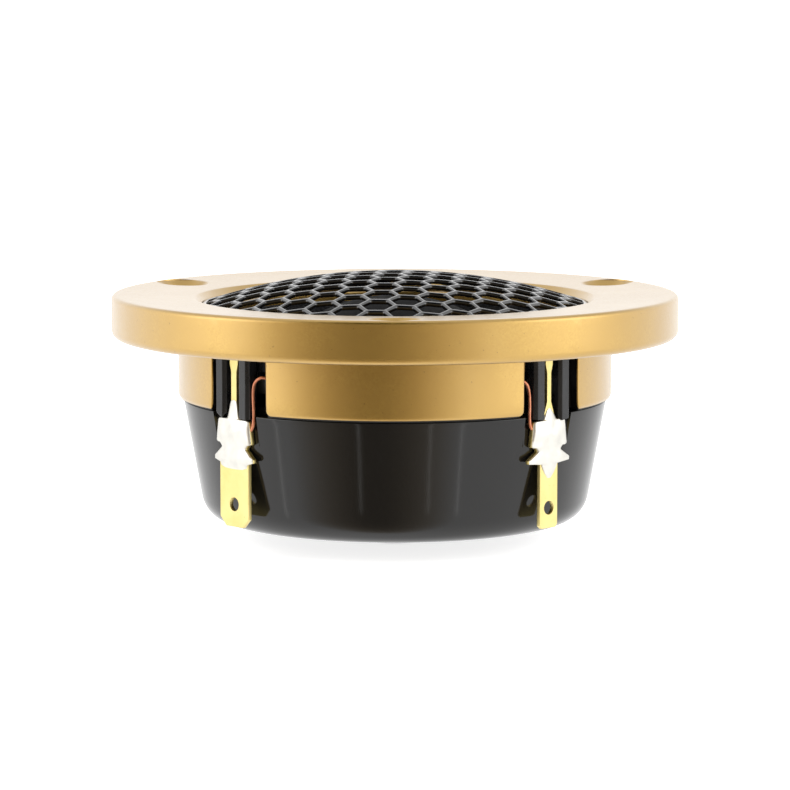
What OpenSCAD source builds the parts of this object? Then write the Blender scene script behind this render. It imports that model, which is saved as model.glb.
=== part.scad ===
// Flush-mount dome tweeter with two spade terminals.
// Millimetres. Z points out of the front, and the origin is the middle of the rear boss's end face.
// The two terminals lie towards -Y, one on each side, where the collar has its slots.

/* [Faceplate] */
// Outer diameter of the flange
flange_d = 64; // [58:0.5:80]
// Thickness of the flange at its edge
flange_t = 4.8; // [4:0.1:7]
// Outer diameter of the collar that goes through the panel
collar_d = 49; // [46:0.5:54]
// Wall of the collar
collar_wall = 1.8; // [1.4:0.1:2.4]
// Length of the collar below the flange
collar_h = 7; // [6.2:0.1:10]
// Depth of the grille's seat below the rim
seat_depth = 1.66; // [1.4:0.02:2]
// Width of the ledge that the grille sits on
seat_w = 2.6; // [1.6:0.1:3]

/* [Panel screws] */
// Distance from the flange's edge to the middle of each countersunk hole
screw_edge = 3.5; // [3:0.1:5]
// Diameter of each through hole
screw_hole_d = 3.2; // [2.6:0.1:3.4]
// Diameter of each countersink at the face
countersink_d = 5.8; // [5:0.1:6.4]

/* [Terminal slots] */
// Angle of each slot away from the front of the collar
slot_angle = 45; // [42:0.5:50]
// Width of each slot
slot_w = 8.5; // [8.2:0.1:11]
// Rounding of each slot's lower corners
slot_corner = 1; // [0.5:0.1:1.5]

/* [Grille] */
// Diameter of the mesh disc
grille_d = 43.5; // [41:0.5:45]
// Height of the dome in the mesh
grille_rise = 3.5; // [2.4:0.1:4]
// Thickness of the mesh sheet
grille_t = 0.5; // [0.4:0.05:0.8]
// Side of one hexagonal cell, from strand middle to strand middle
cell_side = 2; // [1.8:0.1:2.6]
// Width of the strands between the cells
strand_w = 0.42; // [0.35:0.01:0.6]
// Width of the plain border round the mesh
grille_border = 0.4; // [0.3:0.05:1]
// Turn of the mesh about its middle
mesh_turn = -5.5; // [-30:0.5:30]

/* [Rear cup] */
// Height of the cup below the collar
cup_h = 13.8; // [13:0.1:20]
// Step from the collar's side in to the cup's side
cup_step = 0.55; // [0.3:0.05:1]
// Taper of the cup's side, in degrees
cup_taper = 10.3; // [4:0.1:14]
// Rounding between side and bottom
cup_round = 3.3; // [2.2:0.1:4]
// Wall of the cup
cup_wall = 1.8; // [1.4:0.1:2]
// Diameter of the boss in the middle of the bottom
boss_d = 11.8; // [8:0.2:16]
// Height of that boss
boss_h = 2.2; // [1.5:0.1:4]

/* [Terminals] */
// Angle of the terminals away from the front
terminal_angle = 46.5; // [45:0.1:46.5]
// Turn of the whole terminal ring in the collar
ring_turn = -1.4; // [-1.5:0.1:0]
// Width of the positive tab
wide_tab_w = 4.8; // [4.4:0.1:5]
// Width of the negative tab
narrow_tab_w = 2.8; // [2.6:0.1:3]
// Thickness of the terminal strip
tab_t = 0.5; // [0.4:0.1:0.8]
// Length of each terminal from its shoulders to its end
tab_len = 11.9; // [10.5:0.1:13]
// Diameter of the hole in each tab
tab_hole_d = 1.5; // [1.2:0.1:1.6]
// Diameter of the copper leads
lead_d = 0.36; // [0.3:0.02:0.4]

/* [Terminal ring] */
// Thickness of the ring that carries the diaphragm
ring_t = 2.8; // [2.6:0.1:3.4]
// Length of the four posts past the end of the collar
post_past = 0.45; // [0.3:0.05:0.8]
// Width of each post
post_w = 1.7; // [1.4:0.1:1.8]
// Thickness of the foam seal above the ring
gasket_t = 0.3; // [0.2:0.1:0.6]
// Height of the seal's lip, which lines the faceplate's opening
gasket_lip = 2.1; // [1:0.1:2.4]

/* [Diaphragm] */
// Inner diameter of the coil former
former_d = 25.5; // [24:0.1:26]
// Height of the dome above its foot
dome_rise = 5.2; // [4:0.1:5.6]
// Width of the half roll round the dome
roll_w = 3.75; // [2.5:0.05:4.2]
// Thickness of the coated silk
silk_t = 0.2; // [0.15:0.05:0.3]
// Height of the voice coil's winding
coil_h = 2.2; // [1.6:0.1:3]
// Radial thickness of the winding
coil_t = 0.35; // [0.25:0.05:0.45]

/* [Motor] */
// Clearance on each side of the coil and its former in the gap
gap_clearance = 0.4; // [0.3:0.02:0.6]
// Thickness of the pole plate
pole_t = 3; // [2.4:0.1:4]
// Thickness of the magnet
magnet_t = 4; // [3:0.1:5]
// Wall of the steel pot
pot_wall = 3.3; // [2.4:0.1:4]
// Thickness of the pot's floor
pot_floor = 3; // [2:0.1:4]
// Diameter of the vent through the motor
vent_d = 6; // [4:0.2:8]

/* [Hidden] */
$fn = 96;
eps = 0.01;
running = 0.1;        // slip clearance between pieces that slide together by hand
edge_round = 0.5;     // top edge of the flange
lower_round = 0.85;   // bottom edge of the flange
collar_round = 0.7;   // bottom edge of the collar

// Levels, from the boss's end face upwards
cup_floor_z = boss_h;
collar_z = cup_floor_z + cup_h;
flange_z = collar_z + collar_h;
rim_z = flange_z + flange_t;
seat_z = rim_z - seat_depth;
ring_top = flange_z - gasket_t;
ring_bottom = ring_top - ring_t;
gap_top = ring_bottom;
foot_z = ring_top - 0.5;
post_end = collar_z - post_past;
shoulder_z = post_end - 0.15;
tab_end = shoulder_z - tab_len;

// Radii
flange_r = flange_d / 2;
collar_r = collar_d / 2;
collar_in = collar_r - collar_wall;
grille_r = grille_d / 2;
recess_r = grille_r + 0.15;
opening_r = recess_r - seat_w;
lip_r = recess_r + 0.7;
lip_drop = 0.43;
screw_r = flange_r - screw_edge;
dish_drop = 0.16;
ring_r = collar_in - 2 * running;
former_in = former_d / 2;
former_t = 0.15;
former_out = former_in + former_t;
dome_r = former_out + 0.1;
roll_in = dome_r + silk_t;
coil_out = former_out + coil_t;
roll_out = roll_in + roll_w;
ring_in = roll_out - 0.35;
landing_r = ring_in + 1.8;
pole_r = former_in - gap_clearance;
pot_in = coil_out + gap_clearance;
pot_out = pot_in + pot_wall;
magnet_r = pole_r - 1;
magnet_in = vent_d / 2 + 1;
mesh_shift = [-0.3, 0.52];      // of the cell pattern from the disc's middle

// Motor levels and fixing flange
pole_z = gap_top - pole_t;
magnet_z = pole_z - magnet_t;
pot_z = magnet_z - pot_floor;
pot_flange_r = collar_in - 4 * running;
pot_flange_t = 1.6;
motor_screw_r = collar_in - 1.75;
motor_screw_d = 2;
motor_head_d = 3.2;
motor_head_t = 1.2;
motor_screw_grip = 1.9;
screw_slack = 0.1;

// Dome, surround and coil
dome_ball = (pow(dome_r, 2) + pow(dome_rise, 2)) / (2 * dome_rise);
roll_mid = (roll_in + roll_out) / 2;
roll_r = (roll_out - roll_in) / 2;
former_h = 5.5;
former_bottom = foot_z - former_h;
coil_z = gap_top - pole_t / 2 - coil_h / 2;

// Terminals: distance of the outer face from the axis, and the heights along the strip
tab_face = collar_r - 0.75;
tab_back = tab_face - tab_t;
post_face = tab_face + 0.45;
post_back = collar_in + running;
post_gap = 2.2;
solder_t = 0.22;
solder_top = shoulder_z + 2.05;
bell_z = shoulder_z - 2.7;
notch_z = shoulder_z - 2.95;
barb_z = shoulder_z - 4.2;
barb_end_z = shoulder_z - 4.6;
barb_half = 3.25;
hole_up = 2.4;
tab_chamfer = 1;
neck_flare = 0.25;
foot_len = 2.4;
foot_drop = 0.35;
foot_half = 0.8;      // half width of the ring's notch for the foot
bell_wide = [0.9, 3, 2];        // neck's width, then half widths of the bell and the notch
bell_narrow = [0.65, 2.9, 1.8];

// Cup: slope of the side, and the pockets that clear the terminals and posts
cup_top_r = collar_r - cup_step;
cup_slope = tan(cup_taper);
cup_lean = 1 / cos(cup_taper);
cup_bottom_r = cup_top_r - cup_slope * cup_h;
spigot_h = 0.9;
spigot_r = collar_in - running;
spigot_wall = 0.9;
pocket_gap = 0.1;
post_pocket_w = post_gap + 2 * post_w + 0.6;
tab_pocket_w = 2 * barb_half + 0.6;
felt_t = 4;

// Leads: offset beside the terminal, level under the ring, and ends
lead_r = lead_d / 2;
lead_side = 3.05;
lead_level = ring_bottom + 0.33;
lead_end_z = shoulder_z - 0.95;
lead_face = tab_back + tab_t / 2;
lead_groove = 0.7;
lead_up_z = foot_z - 1.1;

// Names of all the sub-parts

// ---------- shared shapes ----------

// Flat ring or disc between two heights
module tube(r_out, r_in, z0, z1) {
  translate([0, 0, z0]) difference() {
    cylinder(r = r_out, h = z1 - z0);
    if (r_in > 0) translate([0, 0, -1]) cylinder(r = r_in, h = z1 - z0 + 2);
  }
}

// Outline of what a rounding takes off an outer corner at [0, 0] that points along +X and -Y
module corner_waste(r) {
  difference() {
    translate([-r, -eps]) square([r + eps, r + eps]);
    translate([-r, r]) circle(r);
    translate([-r - eps, r]) square([r, eps]);
  }
}

// Places children at the positive (side = -1) or negative (side = 1) terminal.
// There, +X points outwards, +Y away from the front, for both sides.
module at_terminal(side) {
  rotate([0, 0, -90 + ring_turn + side * terminal_angle])
    scale([1, side, 1]) children();
}

// Places children at each slot, with +X outwards
module at_slots() {
  for (side = [-1, 1]) rotate([0, 0, -90 + side * slot_angle]) children();
}

// Round wire along a route, with one ring of points at each place on it
function unit(v) = v / norm(v);
function heading(route, i) = unit(
  (i > 0 ? unit(route[i] - route[i - 1]) : [0, 0, 0])
  + (i < len(route) - 1 ? unit(route[i + 1] - route[i]) : [0, 0, 0])
);
module wire(route, r, sides = 8) {
  ends = len(route) - 1;
  rings = [
    for (i = [0:ends]) let (
      along = heading(route, i),
      across = unit(cross(along, [0.3, 1, 0.2])),
      up = cross(along, across)
    ) for (k = [0:sides - 1]) let (a = 360 * k / sides)
      route[i] + r * (cos(a) * across + sin(a) * up)
  ];
  walls = [
    for (i = [0:ends - 1]) for (k = [0:sides - 1]) let (n = (k + 1) % sides)
      [i * sides + k, (i + 1) * sides + k, (i + 1) * sides + n, i * sides + n]
  ];
  caps = [
    [for (k = [0:sides - 1]) k],
    [for (k = [sides - 1:-1:0]) ends * sides + k]
  ];
  polyhedron(rings, concat(walls, caps), convexity = 4);
}

// ---------- faceplate ----------

module faceplate_outline() {
  difference() {
    polygon([
      [opening_r, flange_z], [opening_r, seat_z], [recess_r, seat_z],
      [recess_r, rim_z - 1.12], [lip_r, rim_z - lip_drop], [screw_r, rim_z - dish_drop],
      [flange_r - edge_round * 2, rim_z], [flange_r, rim_z], [flange_r, flange_z],
      [collar_r, flange_z], [collar_r, collar_z], [collar_in, collar_z], [collar_in, flange_z]
    ]);
    translate([flange_r, flange_z]) corner_waste(lower_round);
    translate([flange_r, rim_z]) scale([1, -1]) corner_waste(edge_round);
    translate([collar_r, collar_z]) corner_waste(collar_round);
  }
}

// What each slot cuts from the collar: straight walls that flare out round the lower corners.
// The corner's arc is lowered a little, so that it meets the collar's end face at an angle.
module slot_cut() {
  h = flange_z - collar_z;
  rotate([90, 0, 90]) translate([0, 0, collar_in - 3]) linear_extrude(collar_wall + 6) {
    translate([-slot_w / 2, collar_z - 1]) square([slot_w, h + 1]);
    for (s = [-1, 1]) translate([s * slot_w / 2, collar_z]) scale([s, 1]) difference() {
      translate([-eps, -1]) square([slot_corner + eps, slot_corner + 1]);
      translate([slot_corner, slot_corner * 0.95]) circle(slot_corner);
    }
  }
}

module panel_screw_cut() {
  cone_h = (countersink_d - screw_hole_d) / 2;
  translate([0, 0, flange_z - 1]) cylinder(d = screw_hole_d, h = flange_t + 2);
  translate([0, 0, rim_z - dish_drop - cone_h])
    cylinder(d1 = screw_hole_d, d2 = countersink_d, h = cone_h);
  translate([0, 0, rim_z - dish_drop - eps]) cylinder(d = countersink_d, h = 1);
}

module at_motor_screws() {
  for (a = [-30, 90, 210]) rotate([0, 0, a]) translate([motor_screw_r, 0, 0]) children();
}

module faceplate() color([0.77, 0.61, 0.33]) difference() {
  rotate_extrude() faceplate_outline();
  at_slots() slot_cut();
  for (a = [-90, 30, 150]) rotate([0, 0, a]) translate([screw_r, 0, 0]) panel_screw_cut();
  at_motor_screws() translate([0, 0, flange_z - 1])
    cylinder(d = motor_screw_d, h = motor_screw_grip + 1);
}

// ---------- grille ----------

module hexagon_field() {
  hole_r = cell_side - strand_w / (2 * cos(30));
  columns = ceil(grille_r / (1.5 * cell_side)) + 1;
  rows = ceil(grille_r / (sqrt(3) * cell_side)) + 1;
  intersection() {
    circle(grille_r - grille_border);
    rotate(mesh_turn) translate(mesh_shift)
      for (i = [-columns:columns]) for (j = [-rows:rows])
        translate([1.5 * cell_side * i, sqrt(3) * cell_side * (j + (abs(i) % 2) / 2)])
          circle(hole_r, $fn = 6);
  }
}

module grille() {
  ball = (pow(grille_r, 2) + pow(grille_rise, 2)) / (2 * grille_rise);
  ball_z = seat_z + grille_t + grille_rise - ball;
  color([0.05, 0.05, 0.06]) difference() {
    intersection() {
      translate([0, 0, ball_z]) difference() {
        sphere(ball);
        sphere(ball - grille_t);
      }
      translate([0, 0, seat_z]) cylinder(r = grille_r, h = grille_rise + 2);
    }
    translate([0, 0, seat_z - 1]) linear_extrude(grille_rise + 4) hexagon_field();
  }
}

// ---------- terminal ring and seal ----------

// Flat foam ring under the flange, with a lip that lines the opening and hides its wall
module ring_gasket() color([0.16, 0.16, 0.17]) difference() {
  union() {
    tube(ring_r, landing_r + running, ring_top, flange_z);
    tube(opening_r, landing_r + running, ring_top, flange_z + gasket_lip);
  }
  at_motor_screws() translate([0, 0, ring_top - 1])
    cylinder(d = motor_screw_d + 2 * screw_slack, h = gasket_t + 2);
}

// One post, with its two outer edges bevelled and its end cut off at a slant
module post() {
  bevel = 0.3;
  root = ring_r - 1;
  difference() {
    translate([0, 0, post_end]) linear_extrude(ring_top - post_end) polygon([
      [root, 0], [post_face - bevel, 0], [post_face, bevel],
      [post_face, post_w - bevel], [post_face - bevel, post_w], [root, post_w]
    ]);
    translate([0, -1, post_end - 1]) cube([post_back, post_w + 2, ring_bottom - post_end + 1]);
    translate([post_face, -1, post_end]) rotate([0, 45, 0]) cube([1, post_w + 2, 1]);
  }
}

module terminal_ring() color([0.06, 0.06, 0.07]) difference() {
  union() {
    tube(ring_r, ring_in, ring_bottom, ring_top);
    for (side = [-1, 1]) at_terminal(side) for (s = [-1, 1])
      scale([1, s, 1]) translate([0, post_gap / 2, 0]) post();
  }
  tube(landing_r, 0, foot_z, ring_top + 1);
  at_motor_screws() translate([0, 0, ring_bottom - 1])
    cylinder(d = motor_screw_d + 2 * screw_slack, h = ring_t + 2);
  for (side = [-1, 1]) at_terminal(side) {
    translate([tab_back - foot_len - running, -foot_half, ring_top - foot_drop - tab_t])
      cube([foot_len + 2, 2 * foot_half, foot_drop + tab_t + 1]);
    translate([ring_in - 1, -lead_side - lead_groove / 2, ring_bottom - 1])
      cube([post_back - ring_in + 1, lead_groove, 1 + lead_groove]);
  }
}

// ---------- diaphragm ----------

module dome() color([0.1, 0.09, 0.09]) {
  ball_z = foot_z + dome_rise - dome_ball;
  intersection() {
    translate([0, 0, ball_z]) difference() {
      sphere(dome_ball + silk_t / 2);
      sphere(dome_ball - silk_t / 2);
    }
    tube(roll_in - silk_t / 2, 0, foot_z, foot_z + dome_rise + 1);
  }
}

module surround() color([0.1, 0.09, 0.09]) rotate_extrude() {
  translate([roll_in - silk_t / 2, foot_z]) square([silk_t, silk_t]);
  translate([roll_mid, foot_z]) difference() {
    circle(roll_r);
    circle(roll_r - silk_t);
    translate([-roll_r - 1, -roll_r - 1]) square([2 * roll_r + 2, roll_r + 1]);
  }
  translate([roll_out - silk_t / 2, foot_z]) square([landing_r - running - roll_out, silk_t]);
}

module coil_former() color([0.72, 0.72, 0.74])
  tube(former_out, former_in, former_bottom, foot_z);

module voice_coil() color([0.72, 0.4, 0.2])
  tube(coil_out, former_out, coil_z, coil_z + coil_h);

// A lead: from the coil former, under the ring, out through the slot and down to the lug
module lead_out() {
  bend = 0.5;
  wire([
    [former_out + 0.2, -0.6, lead_up_z], [former_out + 1.2, -1, lead_up_z - 0.1],
    [ring_in - 1.4, -2.2, lead_level + 0.2], [ring_in - 0.6, -lead_side, lead_level],
    [lead_face - bend, -lead_side, lead_level],
    [lead_face - 0.3 * bend, -lead_side, lead_level - 0.3 * bend],
    [lead_face, -lead_side, lead_level - bend], [lead_face, -lead_side, lead_end_z]
  ], lead_r);
}

module lead_out_wide() color([0.8, 0.42, 0.25]) at_terminal(-1) lead_out();
module lead_out_narrow() color([0.8, 0.42, 0.25]) at_terminal(1) lead_out();

// ---------- terminals ----------

// Front outline of a terminal as [across, height], for half of the strip
function terminal_half(tab_w, bell) = let (neck_w = bell[0], bell_half = bell[1], notch_half = bell[2]) [
  [neck_w / 2 + neck_flare, ring_top - foot_drop], [neck_w / 2 + neck_flare, flange_z - 1.4],
  [neck_w / 2, flange_z - 2.6], [neck_w / 2, solder_top],
  [post_gap / 2 - 0.1, shoulder_z + 0.1], [bell_half - 0.4, shoulder_z], [bell_half, bell_z],
  [notch_half + 0.5, bell_z + 0.25], [notch_half, notch_z], [barb_half, barb_z],
  [barb_half, barb_end_z], [tab_w / 2, barb_end_z - 0.1]
];

function mirrored(points) = [for (i = [len(points) - 1:-1:0]) [-points[i][0], points[i][1]]];

module terminal_outline(tab_w, bell, chamfer) {
  side = concat(
    terminal_half(tab_w, bell),
    [[tab_w / 2, tab_end + chamfer], [tab_w / 2 - chamfer, tab_end]]
  );
  polygon(concat(side, mirrored(side)));
}

module terminal(tab_w, bell, chamfer) {
  difference() {
    rotate([90, 0, 90]) translate([0, 0, tab_back]) linear_extrude(tab_t)
      terminal_outline(tab_w, bell, chamfer);
    translate([tab_back - 1, 0, tab_end + hole_up]) rotate([0, 90, 0])
      cylinder(d = tab_hole_d, h = tab_t + 2);
  }
  translate([tab_back - foot_len, -bell[0] / 2, ring_top - foot_drop - tab_t])
    cube([foot_len + eps, bell[0], tab_t]);
}

// Solder on the lug's face, from the neck to below the barbs
module solder(tab_w, bell, tail) {
  half = terminal_half(tab_w, bell);
  inset = 0.15;
  side = concat(
    [for (i = [3:len(half) - 1]) [half[i][0] - inset, half[i][1]]],
    [[tab_w / 2 - 0.5, barb_end_z - tail]]
  );
  rotate([90, 0, 90]) translate([0, 0, tab_face]) linear_extrude(solder_t)
    polygon(concat(side, mirrored(side)));
}

module terminal_wide() color([0.86, 0.76, 0.42])
  at_terminal(-1) terminal(wide_tab_w, bell_wide, tab_chamfer);
module terminal_narrow() color([0.86, 0.76, 0.42])
  at_terminal(1) terminal(narrow_tab_w, bell_narrow, tab_chamfer / 3);
module solder_wide() color([0.88, 0.88, 0.87])
  at_terminal(-1) solder(wide_tab_w, bell_wide, 0.6);
module solder_narrow() color([0.88, 0.88, 0.87])
  at_terminal(1) solder(narrow_tab_w, bell_narrow, 1.9);

// ---------- motor ----------

module pole_plate() color([0.62, 0.63, 0.65]) tube(pole_r, vent_d / 2, pole_z, gap_top);

module neo_magnet() color([0.7, 0.71, 0.73]) tube(magnet_r, magnet_in, magnet_z, pole_z);

module pole_felt() color([0.3, 0.3, 0.31])
  tube(pole_r - 0.8, vent_d / 2, gap_top, gap_top + 1.2);

module steel_pot() color([0.6, 0.6, 0.62]) difference() {
  union() {
    tube(pot_out, pot_in, pot_z, gap_top);
    tube(pot_in + eps, vent_d / 2, pot_z, magnet_z);
    tube(pot_flange_r, pot_in, gap_top - pot_flange_t, gap_top);
  }
  at_motor_screws() translate([0, 0, gap_top - pot_flange_t - 1])
    cylinder(d = motor_screw_d + 2 * screw_slack, h = pot_flange_t + 2);
}

// Pan-head screw with a cross recess, standing in the row's own place
module motor_screw() {
  head_z = gap_top - pot_flange_t - motor_head_t;
  difference() {
    translate([0, 0, head_z]) cylinder(d = motor_head_d, h = motor_head_t);
    for (a = [0, 90]) rotate([0, 0, a]) translate([-0.9, -0.2, head_z - 1]) cube([1.8, 0.4, 1.7]);
  }
  translate([0, 0, head_z + motor_head_t - eps])
    cylinder(d = motor_screw_d, h = flange_z + motor_screw_grip - 0.2 - head_z - motor_head_t);
}

module motor_screws() color([0.75, 0.75, 0.77]) at_motor_screws() motor_screw();

// ---------- rear cup ----------

// Outline of the cup's side and bottom, moved inwards by a wall
module cup_outline(inset) {
  r_bottom = cup_bottom_r - inset * cup_lean + inset * cup_slope;
  z0 = cup_floor_z + inset;
  rho = max(cup_round - inset, 0.5);
  centre = [r_bottom + rho * cup_slope - rho * cup_lean, z0 + rho];
  touch = centre + rho / cup_lean * [1, -cup_slope];
  r_top = r_bottom + (collar_z - z0) * cup_slope;
  polygon([[0, z0], [centre[0], z0], centre, touch, [r_top, collar_z], [0, collar_z]]);
  translate(centre) circle(rho);
}

module rear_cup() color([0.04, 0.04, 0.045]) {
  difference() {
    union() {
      rotate_extrude() intersection() {
        cup_outline(0);
        translate([0, cup_floor_z]) square([cup_top_r + 1, cup_h]);
      }
      tube(boss_d / 2, 0, 0, cup_floor_z + 1);
      tube(spigot_r, spigot_r - spigot_wall, collar_z - 1, collar_z + spigot_h);
    }
    rotate_extrude() intersection() {
      cup_outline(cup_wall);
      translate([0, cup_floor_z]) square([spigot_r - spigot_wall, cup_h + 1]);
    }
    for (side = [-1, 1]) at_terminal(side) {
      translate([spigot_r, -post_pocket_w / 2, post_end - 2 * pocket_gap])
        cube([4, post_pocket_w, 4]);
      translate([tab_back - pocket_gap, -tab_pocket_w / 2, tab_end - 1])
        cube([4, tab_pocket_w, post_end - tab_end + 2]);
    }
  }
}

module chamber_felt() color([0.35, 0.35, 0.36])
  tube(17, 0, cup_floor_z + cup_wall, cup_floor_z + cup_wall + felt_t);

// ---------- output ----------

faceplate();
grille();
ring_gasket();
terminal_ring();
dome();
surround();
coil_former();
voice_coil();
lead_out_wide();
lead_out_narrow();
terminal_wide();
terminal_narrow();
solder_wide();
solder_narrow();
pole_plate();
neo_magnet();
steel_pot();
pole_felt();
motor_screws();
rear_cup();
chamber_felt();
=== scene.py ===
"""Looks of a flush-mount dome tweeter: gold cast faceplate, black mesh grille and gloss rear cup.

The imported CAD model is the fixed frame. Sizes are typed in millimetres, in the model's own frame: the
origin is the middle of the rear boss, Z points out of the front, and the terminals lie towards -Y.
The sections follow the tweeter as it is put together, from the rear cup to the grille, and the floor,
the lights and the camera come last.
"""

import math

import bmesh
import bpy
import numpy as np
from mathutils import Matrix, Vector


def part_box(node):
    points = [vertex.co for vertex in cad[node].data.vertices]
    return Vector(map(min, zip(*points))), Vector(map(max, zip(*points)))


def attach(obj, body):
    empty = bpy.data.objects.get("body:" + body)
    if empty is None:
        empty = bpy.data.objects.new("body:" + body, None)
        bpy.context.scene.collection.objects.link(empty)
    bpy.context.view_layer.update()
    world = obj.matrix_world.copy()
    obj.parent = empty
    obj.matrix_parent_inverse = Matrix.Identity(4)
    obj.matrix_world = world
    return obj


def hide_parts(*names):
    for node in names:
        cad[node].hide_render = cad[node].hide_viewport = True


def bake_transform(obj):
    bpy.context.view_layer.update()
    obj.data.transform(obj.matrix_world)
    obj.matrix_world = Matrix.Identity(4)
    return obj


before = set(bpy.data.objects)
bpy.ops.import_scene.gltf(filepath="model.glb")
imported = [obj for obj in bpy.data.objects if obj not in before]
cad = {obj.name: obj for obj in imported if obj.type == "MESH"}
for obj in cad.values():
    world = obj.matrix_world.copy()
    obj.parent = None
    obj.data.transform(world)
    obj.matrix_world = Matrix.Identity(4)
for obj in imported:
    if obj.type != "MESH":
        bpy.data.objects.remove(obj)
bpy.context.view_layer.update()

# ---------- Rear cup ----------
# The closed chamber behind the motor: one moulding of gloss black ABS with a round boss under it.
# A short spigot presses into the collar, and two flats keep its side clear of the terminals.


def eased(corners, radii, steps=6):
    """A line through the corners, with each inner one rounded. An arc starts and ends where a circle
    touches both sides, at its radius over the tangent of half the corner's angle, and swings between."""
    corners = np.asarray(corners, float)
    line = [corners[:1]]
    share = np.linspace(0, 1, steps)[:, None]
    for before, corner, after, radius in zip(corners, corners[1:], corners[2:], radii):
        if radius == 0:
            line.append(corner[None])
            continue
        back, on = before - corner, after - corner
        back, on = back / np.hypot(*back), on / np.hypot(*on)
        half = math.acos(np.clip(back @ on, -1, 1)) / 2
        middle = corner + (back + on) / np.hypot(*(back + on)) * radius / math.sin(half)
        start = corner + back * radius / math.tan(half) - middle
        end = corner + on * radius / math.tan(half) - middle
        swing = math.pi - 2 * half
        weights = np.sin((1 - share) * swing), np.sin(share * swing)
        line.append(middle + (weights[0] * start + weights[1] * end) / math.sin(swing))
    return np.concatenate([*line, corners[-1:]])


def filled(line, step):
    """The same line with places added along its straights, none further apart than the step."""
    along = np.concatenate([[0], np.cumsum(np.hypot(*np.diff(line, axis=0).T))])
    counts = [max(1, math.ceil((b - a) / step)) for a, b in zip(along, along[1:])]
    marks = [np.linspace(a, b, n, endpoint=False) for a, b, n in zip(along, along[1:], counts)]
    marks = np.concatenate([*marks, along[-1:]])
    return np.stack([np.interp(marks, along, line[:, k]) for k in (0, 1)], -1)


def ring_places(line, angles):
    """Places of a turned shape in millimetres: the radius times the cosine and sine of each angle."""
    radius, height = line[:, 0], line[:, 1]
    flat = np.stack([np.cos(angles), np.sin(angles)], -1)[:, None] * radius[None, :, None]
    return np.concatenate([flat, np.broadcast_to(height[None, :, None], flat[..., :1].shape)], -1)


def piece_of(name, places, faces, crease=35):
    """An object from places in millimetres and faces. Doubled places, as at a pole, are merged, and
    the faces are turned outwards, which they are if the signed volume of the shape is positive."""
    mesh = bpy.data.meshes.new(name)
    mesh.from_pydata(np.asarray(places, float).reshape(-1, 3) * 0.001, [], faces)
    work = bmesh.new()
    work.from_mesh(mesh)
    bmesh.ops.remove_doubles(work, verts=work.verts, dist=2e-7)
    work.to_mesh(mesh)
    volume = work.calc_volume(signed=True)
    work.free()
    if volume < 0:
        mesh.flip_normals()
    mesh.polygons.foreach_set("use_smooth", np.ones(len(mesh.polygons), bool))
    mesh.set_sharp_from_angle(angle=math.radians(crease))
    thing = bpy.data.objects.new(name, mesh)
    bpy.context.scene.collection.objects.link(thing)
    return thing


def net_faces(columns, rows, round_columns=True, round_rows=True, first=0, caps=False):
    """Faces of a grid of places: each place with the next in its column and in its row. Either way
    may close on itself, and caps closes the first and the last column with a face each."""
    index = first + np.arange(columns * rows).reshape(columns, rows)
    here = index if round_columns else index[:-1]
    there = np.roll(index, -1, 0) if round_columns else index[1:]
    if round_rows:
        corners = here, there, np.roll(there, -1, 1), np.roll(here, -1, 1)
    else:
        corners = here[:, :-1], there[:, :-1], there[:, 1:], here[:, 1:]
    faces = np.stack(corners, -1).reshape(-1, 4).tolist()
    return faces + ([index[0].tolist(), index[-1][::-1].tolist()] if caps else [])


class Dial:
    """A socket in a material's nodes. Sums on it add Math nodes, and node() adds any other node."""

    def __init__(self, tree, socket=None):
        self.tree, self.socket = tree, socket

    def node(self, kind, settings=(), sockets=(), out=0):
        made = self.tree.nodes.new("ShaderNode" + kind)
        for name, value in dict(settings).items():
            setattr(made, name, value)
        for name, value in dict(sockets).items():
            if isinstance(value, Dial):
                self.tree.links.new(value.socket, made.inputs[name])
            else:
                made.inputs[name].default_value = value
        return Dial(self.tree, made.outputs[out] if len(made.outputs) else None)

    def sum_of(self, operation, first, second):
        return self.node("Math", {"operation": operation}, {0: first, 1: second})

    def __add__(self, other):
        return self.sum_of("ADD", self, other)

    def __sub__(self, other):
        return self.sum_of("SUBTRACT", self, other)

    def __rsub__(self, other):
        return self.sum_of("SUBTRACT", other, self)

    def __mul__(self, other):
        return self.sum_of("MULTIPLY", self, other)

    __radd__, __rmul__ = __add__, __mul__


def shade_of(red, green, blue):
    """A colour from screen values of 0 to 255, turned to the light that they stand for."""
    part = np.array([red, green, blue]) / 255
    light = np.where(part <= 0.04045, part / 12.92, ((part + 0.055) / 1.055) ** 2.4)
    return (*light.tolist(), 1.0)


def finish_of(name, paint):
    """A material whose Principled sockets are what paint(dial, place) returns for them."""
    material = bpy.data.materials.new(name)
    material.use_nodes = True
    material.node_tree.nodes.clear()
    dial = Dial(material.node_tree)
    sockets = paint(dial, dial.node("TexCoord", out="Object"))
    dial.node("OutputMaterial", (), {"Surface": dial.node("BsdfPrincipled", (), sockets)})
    return material


def grain(dial, place, size_mm, detail=2.0, rough=0.5):
    """Noise from 0 to 1 whose features are about that many millimetres across."""
    settings = {"Vector": place, "Scale": 1000 / size_mm, "Detail": detail, "Roughness": rough}
    return dial.node("TexNoise", {"noise_dimensions": "3D"}, settings, "Fac")


def ramp(dial, value, low, high, start=0.0, end=1.0):
    """Runs smoothly from start to end while the value goes from low to high."""
    limits = {"Value": value, "From Min": low, "From Max": high, "To Min": start, "To Max": end}
    return dial.node("MapRange", {"interpolation_type": "SMOOTHSTEP"}, limits, "Result")


def mixed(dial, share, first, second):
    """The first colour turning into the second as the share goes from 0 to 1."""
    return dial.node("Mix", {"data_type": "RGBA"}, {0: share, 6: first, 7: second}, 2)


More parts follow.
